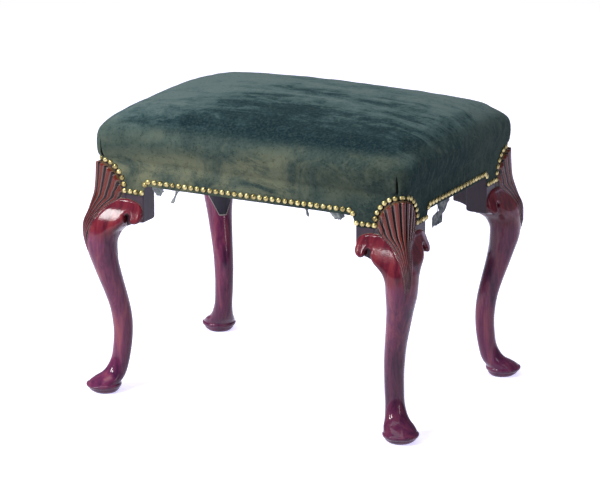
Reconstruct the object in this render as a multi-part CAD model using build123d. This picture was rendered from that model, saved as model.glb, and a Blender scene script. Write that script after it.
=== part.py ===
from build123d import *
import math
import os

# An upholstered stool: a beech seat frame on four cabriole legs with carved
# knees and scrolled brackets, stuffed over webbing and covered in nailed leather.
# Millimetres, +Z up, X along the long side, -Y the front, origin on the floor.

# Seat frame
FRAME_WIDTH = 560.0
FRAME_DEPTH = 400.0
RAIL_BOTTOM = 367.0
RAIL_HEIGHT = 70.0
RAIL_THICKNESS = 38.0
POST_SIDE = 52.0
POST_CORNER_RADIUS = 14.0
TENON_THICKNESS = 12.0
TENON_LENGTH = 24.0
TENON_SHOULDER = 8.0
MORTISE_FIT = 0.1
MORTISE_END_GAP = 0.8
PEG_RADIUS = 3.0
PEG_LENGTH = 34.0
PEG_INSET = 0.2
PEG_RISES = (33.0, 51.0)

# Corner braces and their screws
BRACE_THICKNESS = 28.0
BRACE_HEIGHT = 40.0
BRACE_DROP = 12.0
SCREW_RADIUS = 2.2
SCREW_HEAD_RADIUS = 4.4
SCREW_LENGTH = 41.0
SCREW_FROM_END = 16.0

# Leg: heights of the foot are from the floor, the shank runs from ankle to knee
FOOT_STATIONS = (
    # height, centre along the diagonal, radius
    (0.0, -3.0, 22.0),
    (6.0, -2.6, 27.0),
    (12.5, -2.0, 29.5),
    (18.0, -4.8, 28.3),
    (24.0, -11.8, 25.5),
    (31.0, -19.8, 20.8),
    (41.0, -26.0, 18.0),
    (58.0, -32.0, 16.0),
    (80.0, -35.5, 16.1),
)
ANKLE_HEIGHT = 103.0
KNEE_DROP = 85.0
SHANK_STATIONS = (
    # share of the way from ankle to knee, centre along the diagonal, radius
    (0.00, -36.9, 16.4),
    (0.12, -35.7, 17.1),
    (0.24, -32.2, 17.6),
    (0.37, -25.7, 18.7),
    (0.52, -17.0, 20.5),
    (0.65, -10.0, 22.3),
    (0.79, -4.5, 25.6),
)
KNEE_PROUD = 22.5
KNEE_STATIONS = (
    # share of the way from ankle to knee, proud of the frame, inner side, squareness
    (0.89, 24.0, 29.0, 2.2),
    (1.00, KNEE_PROUD, 36.0, 2.7),
    (1.06, 19.8, 46.0, 4.2),
)
KNEE_TOP_STATIONS = (
    # drop below the rail, proud of the frame, squareness
    (65.0, 17.2, 8.0),
    (44.0, 8.0, 9.0),
    (30.0, 3.2, 10.0),
    (22.0, 0.5, 10.0),
)
KNEE_SIDE_GAP = 0.6
POST_DROP = 65.0

# Carved shell on the corner of each knee
SHELL_RIBS = 9
SHELL_RIB_DEPTH = 2.6
SHELL_EDGE_PROUD = 3.0
SHELL_STATIONS = (
    # drop below the rail, crest along the diagonal, half width, face proud there
    (104.0, 26.4, 4.6, 24.0),
    (85.0, 29.6, 6.8, 22.5),
    (67.0, 28.2, 9.6, 18.0),
    (49.0, 19.8, 13.4, 10.2),
    (37.0, 15.0, 20.0, 5.4),
    (27.0, 11.2, 28.0, 2.2),
    (17.0, 8.2, 32.5, 0.0),
    (-9.0, 5.4, 33.0, 0.0),
    (-36.0, 4.0, 33.0, 0.0),
)
SHELL_CORE = -28.0
ARCH_DROP = 12.0
ARCH_HALF_WIDTH = 32.5
ARCH_RISE = 45.0
ARCH_CLEARANCE = 1.2

# Scrolled brackets either side of each knee
BRACKET_END = 83.5
BRACKET_THICKNESS = 38.0
BRACKET_END_DROP = 58.0
BRACKET_ROOT_DROP = 74.0
SCROLL_PROUD = 11.0
SCROLL_DEPTH = 14.0

# Webbing, its tacks and the layers of stuffing
STRAP_WIDTH = 52.0
STRAP_THICKNESS = 1.2
STRAP_LIFT = 1.4
STRAP_GAP = 0.12
LONG_STRAPS = 4
LONG_STRAP_PITCH = 78.0
CROSS_STRAPS = 5
CROSS_STRAP_PITCH = 88.0
STRAP_END_INSET = 8.0
STRAP_FOLD = 26.0
TACKS_PER_END = 3
TACK_PITCH = 17.0
TACK_HEAD_RADIUS = 3.2
TACK_HEAD = 0.8
TACK_RADIUS = 1.0
TACK_LENGTH = 12.0
HESSIAN_LIFT = 3.4
HESSIAN_THICKNESS = 0.9
HESSIAN_INSET = 8.0
SCRIM_THICKNESS = 0.8
FIRST_STUFFING_STATIONS = (
    # height above the hessian, beyond the frame, corner radius
    (0.0, -6.0, 20.0),
    (9.0, -3.0, 26.0),
    (17.0, -6.0, 30.0),
    (23.0, -16.0, 34.0),
    (27.0, -45.0, 40.0),
    (29.5, -100.0, 44.0),
)

# Leather cover, with the lining and wadding under it
LEATHER_THICKNESS = 1.6
WADDING_THICKNESS = 2.0
LINING_THICKNESS = 0.8
WADDING_DROP = 17.0
LINING_DROP = 13.0
TAB_DROP = 18.0
TAB_END_GAP = 1.0
COVER_STRAIGHT = 45.0
COVER_STATIONS = (
    # height above the rails, beyond the frame, corner radius
    (-18.0, 4.5, 17.0),
    (-7.0, 8.2, 24.0),
    (8.0, 11.0, 36.0),
    (19.0, 10.0, 44.0),
    (29.0, 6.0, 49.0),
    (37.0, -1.0, 52.0),
    (43.0, -10.0, 54.0),
)
CROWN_HEIGHT = 27.0
CROWN_POWER = 2.4
CROWN_SHARES = (0.1, 0.25, 0.5, 0.75, 0.9)

# Brass nails
NAIL_HEAD_RADIUS = 4.9
NAIL_HEAD_HEIGHT = 3.2
NAIL_SHANK_RADIUS = 0.8
NAIL_LENGTH = 10.0
NAIL_PITCH = 11.5
NAIL_ROW_RISE = 8.4
NAIL_ROW_END = 94.6
STEP_NAIL = (88.4, 3.2)
TAB_NAILS = 4
TAB_NAIL_PITCH = 10.7
TAB_NAIL_DROP = 11.6
ARCH_NAILS = 7
ARCH_NAIL_GAP = 5.0
ARCH_NAIL_SIDE_GAP = 3.5

# Values that follow from the ones above
HALF_X = FRAME_WIDTH / 2
HALF_Y = FRAME_DEPTH / 2
RAIL_TOP = RAIL_BOTTOM + RAIL_HEIGHT
KNEE_HEIGHT = RAIL_BOTTOM - KNEE_DROP
TAB_BOTTOM = RAIL_BOTTOM - TAB_DROP
HESSIAN_TOP = RAIL_TOP + HESSIAN_LIFT + HESSIAN_THICKNESS
ROOT2 = math.sqrt(2)
CORNER = Vector(HALF_X, HALF_Y, 0)
SIDES = {"front": (0, -1), "back": (0, 1), "left": (-1, 0), "right": (1, 0)}

os.makedirs("parts", exist_ok=True)
made = {}


def keep(name, shape):
    """Write one node of the assembly."""
    made[name] = shape
    export_step(shape, f"parts/{name}.step")


def group(solids):
    return Compound(children=list(solids))


def box_between(low, high):
    size = [b - a for a, b in zip(low, high)]
    middle = [(a + b) / 2 for a, b in zip(low, high)]
    return Pos(*middle) * Box(*size)


def at_corner(u, v, z):
    """A point u along the front or back rail and v along the side rail from the frame's corner."""
    return (HALF_X - u, HALF_Y - v, z)


def on_diagonal(out, across, z):
    """A point measured outwards and across on the diagonal through the frame's corner."""
    return (HALF_X + (out - across) / ROOT2, HALF_Y + (out + across) / ROOT2, z)


def to_corner(shape, across, along):
    """Mirror a shape made at the back right corner to another corner."""
    if across < 0:
        shape = mirror(shape, about=Plane.YZ)
    if along < 0:
        shape = mirror(shape, about=Plane.XZ)
    return shape


def other_side(shape):
    """Mirror a shape over the diagonal, from the long rail's side to the short rail's."""
    return mirror(shape, about=Plane(origin=CORNER, x_dir=(0, 0, 1), z_dir=(1, -1, 0)))


def rounded_section(z, centre, half, squareness=2.0):
    """A closed curve from round to square, with its centre on the corner's diagonal."""
    points = []
    steps = 24
    for k in range(steps):
        turn = 2 * math.pi * (k + 0.5) / steps
        c = math.cos(turn)
        s = math.sin(turn)
        x = half * math.copysign(abs(c) ** (2 / squareness), c)
        y = half * math.copysign(abs(s) ** (2 / squareness), s)
        points.append((HALF_X + centre / ROOT2 + x, HALF_Y + centre / ROOT2 + y, z))
    return Face(Wire([Spline(*points, periodic=True)]))


def leg_height(share):
    return ANKLE_HEIGHT + share * (KNEE_HEIGHT - ANKLE_HEIGHT)


def leg_body():
    """Foot, shank and knee as one loft, and the square post above it."""
    sections = [rounded_section(z, d, r) for z, d, r in FOOT_STATIONS]
    sections += [rounded_section(leg_height(t), d, r) for t, d, r in SHANK_STATIONS]
    stations = [(leg_height(t), p, inner, n) for t, p, inner, n in KNEE_STATIONS]
    side = POST_SIDE - KNEE_SIDE_GAP
    stations += [(RAIL_BOTTOM - drop, p, side, n) for drop, p, n in KNEE_TOP_STATIONS]
    for z, proud, inner, n in stations:
        centre = -(inner - proud) / ROOT2
        sections.append(rounded_section(z, centre, (inner + proud) / 2, n))
    post = box_between(
        at_corner(POST_SIDE, POST_SIDE, RAIL_BOTTOM - POST_DROP), at_corner(0, 0, RAIL_TOP)
    )
    outer_edge = post.edges().filter_by(Axis.Z).sort_by(lambda e: e.center().X + e.center().Y)[-1]
    return loft(sections) + fillet(outer_edge, POST_CORNER_RADIUS)


def arch_prism(gap):
    """What stands within the shell's arched outline, seen along the diagonal."""
    facing = Plane(origin=CORNER, x_dir=(-1, 1, 0), z_dir=(1, 1, 0))
    spring = RAIL_BOTTOM - ARCH_DROP
    low = spring - 2 * KNEE_DROP
    dome = Pos(0, spring) * Ellipse(ARCH_HALF_WIDTH + gap, ARCH_RISE + gap)
    stem = Pos(0, (spring + low) / 2) * Rectangle(2 * (ARCH_HALF_WIDTH + gap), spring - low)
    return extrude(facing * (dome + stem), 2 * POST_SIDE, both=True)


def shell_fan():
    """The fluted shell: each section has the same ribs, spread to that height's width."""
    sections = []
    for drop, crest, half, proud in SHELL_STATIONS:
        z = RAIL_BOTTOM - drop
        edge = min(ROOT2 * (proud + SHELL_EDGE_PROUD) - half, crest - 0.2 * half)
        flute = SHELL_RIB_DEPTH * half / ARCH_HALF_WIDTH
        points = []
        for k in range(2 * SHELL_RIBS + 1):
            t = k / SHELL_RIBS - 1
            out = crest - (crest - edge) * abs(t) ** 1.5
            if k % 2 == 0:
                out -= flute
            points.append(on_diagonal(out, half * t, z))
        back = [on_diagonal(SHELL_CORE, 0.3 * half * t, z) for t in (1, -1)]
        front = Spline(*points)
        sides = Polyline(points[-1], *back, points[0])
        sections.append(Face(Wire([front] + list(sides.edges()))))
    return loft(sections, ruled=True) & arch_prism(0)


def bracket_body():
    """A knee bracket with its swept underside and the scroll standing proud of its face."""
    facing = Plane(origin=CORNER, x_dir=(-1, 0, 0), z_dir=(0, 1, 0))

    def spot(from_end, drop):
        return (BRACKET_END - from_end, RAIL_BOTTOM - drop)

    reach = BRACKET_END - POST_SIDE
    top = Line(spot(reach, 0), spot(0, 0))
    end = Line(spot(0, 0), spot(0, BRACKET_END_DROP))
    sweep_middle = spot(0.56 * reach, BRACKET_END_DROP + 0.3 * (BRACKET_ROOT_DROP - BRACKET_END_DROP))
    sweep = ThreePointArc(spot(0, BRACKET_END_DROP), sweep_middle, spot(reach, BRACKET_ROOT_DROP))
    root = Line(spot(reach, BRACKET_ROOT_DROP), spot(reach, 0))
    block = extrude(facing * make_face([top, end, sweep, root]), -BRACKET_THICKNESS)

    crest = ThreePointArc(spot(reach, 26.6), spot(0.74 * reach, 26.4), spot(0.52 * reach, 29))
    shoulder = ThreePointArc(spot(0.52 * reach, 29), spot(6, 35), spot(1.3, 48))
    lobe = ThreePointArc(spot(1.3, 48), spot(3.9, 61.5), spot(11.7, 65.4))
    tip = ThreePointArc(spot(11.7, 65.4), spot(18.1, 63.2), spot(21.3, 57.5))
    hollow = ThreePointArc(spot(21.3, 57.5), spot(23, 51.8), spot(26.4, 49.4))
    brow = Line(spot(26.4, 49.4), spot(reach, 55.6))
    seat = Line(spot(reach, 55.6), spot(reach, 26.6))
    outline = make_face([crest, shoulder, lobe, tip, hollow, brow, seat])
    scroll = extrude(facing.offset(SCROLL_PROUD) * outline, -SCROLL_PROUD - SCROLL_DEPTH)
    return block + scroll


def nail_places():
    """Where the brass nails of one corner go: (kind, point, outward direction)."""
    skin = LEATHER_THICKNESS
    long_row = []
    short_row = []
    for row, half in ((long_row, HALF_X), (short_row, HALF_Y)):
        end = half - NAIL_ROW_END
        gaps = round(2 * end / NAIL_PITCH)
        for k in range(gaps + 1):
            place = -end + 2 * end * k / gaps
            if place > -0.001:
                row.append(half - place)
    places = []
    for u in long_row:
        places.append(("long", at_corner(u, -skin, RAIL_BOTTOM + NAIL_ROW_RISE), (0, 1, 0)))
    for v in short_row:
        places.append(("short", at_corner(-skin, v, RAIL_BOTTOM + NAIL_ROW_RISE), (1, 0, 0)))
    arch_u = ROOT2 * ARCH_HALF_WIDTH + ARCH_NAIL_SIDE_GAP
    tab = [(STEP_NAIL[0], RAIL_BOTTOM + STEP_NAIL[1])]
    tab += [(arch_u + TAB_NAIL_PITCH * k, RAIL_BOTTOM - TAB_NAIL_DROP) for k in range(TAB_NAILS)]
    for u, z in tab:
        places.append(("long", at_corner(u, -skin, z), (0, 1, 0)))
        places.append(("short", at_corner(-skin, u, z), (1, 0, 0)))
    radius = POST_CORNER_RADIUS + skin
    bend = POST_CORNER_RADIUS * math.pi / 4
    reach = arch_u - POST_CORNER_RADIUS + bend
    rise = ARCH_RISE + ARCH_NAIL_GAP
    spring = RAIL_BOTTOM - TAB_NAIL_DROP
    for k in range(1 - ARCH_NAILS, ARCH_NAILS):
        turn = math.pi / 2 * k / ARCH_NAILS
        s = reach * math.sin(turn)
        z = spring + rise * math.cos(turn)
        if abs(s) <= bend:
            lean = math.pi / 4 + s / POST_CORNER_RADIUS
            u = POST_CORNER_RADIUS - radius * math.cos(lean)
            v = POST_CORNER_RADIUS - radius * math.sin(lean)
            places.append(("arch", at_corner(u, v, z), (math.cos(lean), math.sin(lean), 0)))
        elif s > 0:
            u = POST_CORNER_RADIUS + s - bend
            places.append(("arch", at_corner(u, -skin, z), (0, 1, 0)))
        else:
            v = POST_CORNER_RADIUS - s - bend
            places.append(("arch", at_corner(-skin, v, z), (1, 0, 0)))
    return places


def nail_solid():
    rise = NAIL_HEAD_HEIGHT
    reach = NAIL_HEAD_RADIUS
    outline = Polyline(
        (0, rise), (0, -NAIL_LENGTH), (NAIL_SHANK_RADIUS, -NAIL_LENGTH), (NAIL_SHANK_RADIUS, 0), (reach, 0)
    )
    ball = (reach * reach + rise * rise) / (2 * rise)
    lean = math.asin(reach / ball) / 2
    dome = ThreePointArc((reach, 0), (ball * math.sin(lean), rise - ball + ball * math.cos(lean)), (0, rise))
    return revolve(Plane.XZ * make_face(list(outline.edges()) + [dome]), Axis.Z)


def placed(shape, point, direction):
    return Plane(origin=point, z_dir=direction).location * shape


def drilled(shape, cutters):
    """Cut the holes that reach this shape."""
    room = shape.bounding_box()
    near = []
    for cutter in cutters:
        c = cutter.bounding_box()
        apart = (
            c.min.X > room.max.X or c.max.X < room.min.X or c.min.Y > room.max.Y
            or c.max.Y < room.min.Y or c.min.Z > room.max.Z or c.max.Z < room.min.Z
        )
        if not apart:
            near.append(cutter)
    return shape - near if near else shape


def padded_form(stations, shift):
    """A crowned pad as a loft through rounded rectangles, drawn in by a layer's depth all round."""
    sections = []
    for z, grow, radius in stations:
        spread = 2 * (grow - shift)
        plan = RectangleRounded(FRAME_WIDTH + spread, FRAME_DEPTH + spread, radius - shift)
        sections.append((Pos(0, 0, z - shift) * plan).faces()[0])
    return loft(sections, ruled=True)


def cover_stations():
    bottom = LEATHER_THICKNESS
    corner = POST_CORNER_RADIUS + LEATHER_THICKNESS
    stations = [(TAB_BOTTOM, bottom, corner), (RAIL_BOTTOM + COVER_STRAIGHT, bottom, corner)]
    stations += [(RAIL_TOP + rise, grow, radius) for rise, grow, radius in COVER_STATIONS]
    edge, edge_grow, edge_radius = stations[-1]
    reach = HALF_Y + edge_grow
    for share in CROWN_SHARES:
        rise = CROWN_HEIGHT * (1 - (1 - share) ** CROWN_POWER)
        radius = min(edge_radius, 0.9 * reach * (1 - share))
        stations.append((edge + rise, edge_grow - share * reach, radius))
    return stations


def above(z):
    return box_between((-FRAME_WIDTH, -FRAME_DEPTH, z), (FRAME_WIDTH, FRAME_DEPTH, 2 * RAIL_TOP))


def strap(length, crossings, first_over, lift):
    """One strap along X: over and under the straps it crosses, its ends folded double on the rails."""
    end = length / 2
    flat = end - STRAP_FOLD
    wave = (STRAP_THICKNESS + STRAP_GAP) / 2
    path = [(-end, 0), (-flat, 0)]
    over = first_over
    for place in crossings:
        level = STRAP_LIFT - STRAP_THICKNESS / 2 + (wave if over else -wave)
        path += [(place - STRAP_WIDTH / 2 - 1, level), (place + STRAP_WIDTH / 2 + 1, level)]
        over = not over
    path += [(flat, 0), (end, 0)]
    top = [(x, z + STRAP_THICKNESS) for x, z in path]
    fold = 2 * STRAP_THICKNESS
    top[0:2] = [(-end, fold), (-flat, fold), (-flat + 1, STRAP_THICKNESS)]
    top[-2:] = [(flat - 1, STRAP_THICKNESS), (flat, fold), (end, fold)]
    outline = Polyline(*path, *reversed(top), close=True)
    return Pos(0, 0, lift) * extrude(Plane.XZ * make_face(outline), STRAP_WIDTH / 2, both=True)


# Nails first, because their shanks are driven through the leather and the wood
corner_nails = nail_places()
nail = nail_solid()
shank = Pos(0, 0, -NAIL_LENGTH / 2) * Cylinder(NAIL_SHANK_RADIUS, NAIL_LENGTH)
corner_shanks = [placed(shank, point, direction) for kind, point, direction in corner_nails]

# Rails and what is let into them, made at the back and at the right
span = {"long": FRAME_WIDTH - 2 * POST_SIDE, "short": FRAME_DEPTH - 2 * POST_SIDE}
rail_middle = {"long": HALF_Y - RAIL_THICKNESS / 2, "short": HALF_X - RAIL_THICKNESS / 2}


def bar_along(rail, length, thickness, low, high):
    inner = rail_middle[rail] - thickness / 2
    outer = rail_middle[rail] + thickness / 2
    half = length / 2
    if rail == "long":
        return box_between((-half, inner, low), (half, outer, high))
    return box_between((inner, -half, low), (outer, half, high))


def tenoned(rail, fit, end_gap):
    """The bar that runs through both tenons of a rail, or their mortises with the fit added."""
    low = RAIL_BOTTOM + TENON_SHOULDER - fit
    high = RAIL_TOP - TENON_SHOULDER + fit
    return bar_along(rail, span[rail] + 2 * (TENON_LENGTH + end_gap), TENON_THICKNESS + 2 * fit, low, high)


peg = Pos(0, 0, PEG_LENGTH / 2) * Cylinder(PEG_RADIUS, PEG_LENGTH)
peg_u = POST_SIDE - TENON_LENGTH / 2
corner_pegs = []
for rise in PEG_RISES:
    z = RAIL_BOTTOM + rise
    corner_pegs.append(placed(peg, at_corner(peg_u, PEG_INSET, z), (0, -1, 0)))
    corner_pegs.append(placed(peg, at_corner(PEG_INSET, peg_u, z), (-1, 0, 0)))

# Corner brace across the inside of each corner, with a screw near each end
brace_top = RAIL_TOP - BRACE_DROP
back_reach = 2 * POST_SIDE - RAIL_THICKNESS
front_reach = back_reach + ROOT2 * BRACE_THICKNESS
brace_plan = [
    at_corner(back_reach, RAIL_THICKNESS, brace_top - BRACE_HEIGHT),
    at_corner(front_reach, RAIL_THICKNESS, brace_top - BRACE_HEIGHT),
    at_corner(RAIL_THICKNESS, front_reach, brace_top - BRACE_HEIGHT),
    at_corner(RAIL_THICKNESS, back_reach, brace_top - BRACE_HEIGHT),
]
brace = extrude(make_face(Polyline(*brace_plan, close=True)), BRACE_HEIGHT, dir=(0, 0, 1))
screw_head = Pos(0, 0, SCREW_HEAD_RADIUS / 2) * Cone(SCREW_HEAD_RADIUS, SCREW_RADIUS, SCREW_HEAD_RADIUS)
screw = screw_head + Pos(0, 0, SCREW_LENGTH / 2) * Cylinder(SCREW_RADIUS, SCREW_LENGTH)
screw_step = SCREW_FROM_END / ROOT2
screw_point = at_corner(front_reach - screw_step, RAIL_THICKNESS + screw_step, brace_top - BRACE_HEIGHT / 2)
long_screw = placed(screw, screw_point, (1, 1, 0))
corner_screws = [long_screw, other_side(long_screw)]

# Webbing straps, lengthwise and crosswise, and the tacks through their folded ends
long_places = [(k - (LONG_STRAPS - 1) / 2) * LONG_STRAP_PITCH for k in range(LONG_STRAPS)]
cross_places = [(k - (CROSS_STRAPS - 1) / 2) * CROSS_STRAP_PITCH for k in range(CROSS_STRAPS)]
long_length = FRAME_WIDTH - 2 * STRAP_END_INSET
cross_length = FRAME_DEPTH - 2 * STRAP_END_INSET
tack_head = Pos(0, 0, TACK_HEAD / 2) * Cylinder(TACK_HEAD_RADIUS, TACK_HEAD)
tack = tack_head + Pos(0, 0, -TACK_LENGTH / 2) * Cylinder(TACK_RADIUS, TACK_LENGTH)
tack_hole = Pos(0, 0, -TACK_LENGTH / 2) * Cylinder(TACK_RADIUS, TACK_LENGTH)
tack_z = RAIL_TOP + 2 * STRAP_THICKNESS
tack_points = []
for k in range(TACKS_PER_END):
    aside = (k - (TACKS_PER_END - 1) / 2) * TACK_PITCH
    for sign in (-1, 1):
        for y in long_places:
            tack_points.append((sign * (long_length - STRAP_FOLD) / 2, y + aside, tack_z))
        for x in cross_places:
            tack_points.append((x + aside, sign * (cross_length - STRAP_FOLD) / 2, tack_z))
tacks = [Pos(*point) * tack for point in tack_points]
tack_holes = [Pos(*point) * tack_hole for point in tack_points]

for i, y in enumerate(long_places):
    shape = Pos(0, y, 0) * strap(long_length, cross_places, i % 2 == 0, RAIL_TOP)
    keep(f"webbing_long_{i + 1}", drilled(shape, tack_holes))
for i, x in enumerate(cross_places):
    shape = Pos(x, 0, 0) * Rot(0, 0, 90) * strap(cross_length, long_places, i % 2 == 1, RAIL_TOP)
    keep(f"webbing_cross_{i + 1}", drilled(shape, tack_holes))
keep("webbing_tacks", group(tacks))

# One corner: leg and brackets, then their mirror images
plain_leg = leg_body()
leg = plain_leg + shell_fan()
leg -= [tenoned("long", MORTISE_FIT, MORTISE_END_GAP), tenoned("short", MORTISE_FIT, MORTISE_END_GAP)]
leg = drilled(leg, corner_pegs + corner_shanks)
bracket = bracket_body()
long_bracket = drilled(bracket - plain_leg, corner_shanks)
short_bracket = drilled(other_side(bracket) - plain_leg, corner_shanks)
brace = drilled(brace, corner_screws)

rails = {}
for rail in ("long", "short"):
    bar = bar_along(rail, span[rail], RAIL_THICKNESS, RAIL_BOTTOM, RAIL_TOP) + tenoned(rail, 0, 0)
    cutters = list(tack_holes)
    for shape in corner_pegs + corner_shanks + corner_screws:
        cutters.append(shape)
        cutters.append(mirror(shape, about=Plane.YZ if rail == "long" else Plane.XZ))
    rails[rail] = drilled(bar, cutters)

pegs = []
screws = []
arch_nails = [placed(nail, point, direction) for kind, point, direction in corner_nails if kind == "arch"]
for side, (across, along) in {
    "front_left": (-1, -1), "front_right": (1, -1), "back_left": (-1, 1), "back_right": (1, 1)
}.items():
    keep(f"leg_{side}", to_corner(leg, across, along))
    keep(f"bracket_{side}_long", to_corner(long_bracket, across, along))
    keep(f"bracket_{side}_short", to_corner(short_bracket, across, along))
    keep(f"corner_brace_{side}", to_corner(brace, across, along))
    keep(f"nails_knee_{side}", group(to_corner(one, across, along) for one in arch_nails))
    pegs += [to_corner(one, across, along) for one in corner_pegs]
    screws += [to_corner(one, across, along) for one in corner_screws]
keep("tenon_pegs", group(pegs))
keep("brace_screws", group(screws))
for side, (across, along) in SIDES.items():
    rail = "long" if along else "short"
    keep(f"rail_{side}", to_corner(rails[rail], across, along))
    row = []
    for kind, point, direction in corner_nails:
        if kind != rail:
            continue
        one = to_corner(placed(nail, point, direction), across, along)
        row.append(one)
        on_middle = abs(point[0] if along else point[1]) < 0.01
        if not on_middle:
            row.append(mirror(one, about=Plane.YZ if along else Plane.XZ))
    keep(f"nails_{side}", group(row))
    print(f"nails_{side}", len(row))

# Stuffing, from the hessian up
hessian_plan = (FRAME_WIDTH - 2 * HESSIAN_INSET, FRAME_DEPTH - 2 * HESSIAN_INSET)
keep("hessian", Pos(0, 0, HESSIAN_TOP - HESSIAN_THICKNESS / 2) * Box(*hessian_plan, HESSIAN_THICKNESS))
first_stations = [(HESSIAN_TOP + rise, grow, radius) for rise, grow, radius in FIRST_STUFFING_STATIONS]
first = padded_form(first_stations, 0)
keep("first_stuffing", first)
scrim_stations = [(first_stations[0][0] - SCRIM_THICKNESS,) + first_stations[0][1:]] + first_stations[1:]
over_first = padded_form(scrim_stations, -SCRIM_THICKNESS)
keep("scrim", over_first - first)

depths = [0]
for thickness in (LEATHER_THICKNESS, WADDING_THICKNESS, LINING_THICKNESS):
    depths.append(depths[-1] + thickness)
forms = [padded_form(cover_stations(), depth) for depth in depths]
keep("second_stuffing", (forms[3] & above(HESSIAN_TOP)) - over_first)
keep("lining", (forms[2] - forms[3]) & above(RAIL_TOP - LINING_DROP))
keep("wadding", (forms[1] - forms[2]) & above(RAIL_TOP - WADDING_DROP))

# Leather: open below the rails between the brackets, and arched over each shell
leather = forms[0] - forms[1]
tab_end = BRACKET_END + TAB_END_GAP
low = TAB_BOTTOM - 1
leather -= box_between((tab_end - HALF_X, -FRAME_DEPTH, low), (HALF_X - tab_end, FRAME_DEPTH, RAIL_BOTTOM))
leather -= box_between((-FRAME_WIDTH, tab_end - HALF_Y, low), (FRAME_WIDTH, HALF_Y - tab_end, RAIL_BOTTOM))
opening = arch_prism(ARCH_CLEARANCE)
cutters = []
for across in (-1, 1):
    for along in (-1, 1):
        leather -= to_corner(opening, across, along)
        cutters += [to_corner(one, across, along) for one in corner_shanks]
keep("leather_cover", leather - cutters)

whole = group(made.values()).bounding_box()
print("nodes", len(made))
print("size", [round(v, 1) for v in (whole.size.X, whole.size.Y, whole.size.Z)])
for name, shape in made.items():
    if not shape.is_valid:
        print("not valid", name)
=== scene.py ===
import math
import random

import bmesh
import bpy
from mathutils import Matrix, Vector, noise


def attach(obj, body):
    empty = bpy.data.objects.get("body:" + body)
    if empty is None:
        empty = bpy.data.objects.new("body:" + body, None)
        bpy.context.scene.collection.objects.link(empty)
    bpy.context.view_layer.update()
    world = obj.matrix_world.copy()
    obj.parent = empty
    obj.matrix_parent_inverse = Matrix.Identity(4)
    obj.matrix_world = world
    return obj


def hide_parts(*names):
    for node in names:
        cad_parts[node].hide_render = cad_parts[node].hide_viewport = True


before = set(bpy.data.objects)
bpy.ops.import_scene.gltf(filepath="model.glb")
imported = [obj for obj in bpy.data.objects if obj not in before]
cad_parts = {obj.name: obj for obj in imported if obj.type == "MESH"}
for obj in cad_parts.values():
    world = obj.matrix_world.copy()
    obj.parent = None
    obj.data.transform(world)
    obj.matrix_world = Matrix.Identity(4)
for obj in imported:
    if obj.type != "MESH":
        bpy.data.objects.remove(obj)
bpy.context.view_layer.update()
MM = 0.001
ROOT2 = math.sqrt(2)

# Sizes shared with the frame, in millimetres
HALF_X = 280.0
HALF_Y = 200.0
RAIL_BOTTOM = 367.0
RAIL_TOP = 437.0
POST_SIDE = 52.0
BRACKET_END = 83.5
LEATHER = 1.6
CORNER_RADIUS = 14.0
CORNERS = {"front_left": (-1, -1), "front_right": (1, -1), "back_left": (-1, 1), "back_right": (1, 1)}


class Wire:
    """A shader socket that takes part in Python arithmetic through Math nodes."""

    def __init__(self, finish, socket):
        self.finish = finish
        self.socket = socket

    def math(self, operation, a, b):
        return self.finish.node("ShaderNodeMath", {"operation": operation}, {0: a, 1: b})

    def __add__(self, other):
        return self.math("ADD", self, other)

    __radd__ = __add__

    def __sub__(self, other):
        return self.math("SUBTRACT", self, other)

    def __rsub__(self, other):
        return self.math("SUBTRACT", other, self)

    def __mul__(self, other):
        return self.math("MULTIPLY", self, other)

    __rmul__ = __mul__

    def __truediv__(self, other):
        return self.math("DIVIDE", self, other)


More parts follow.
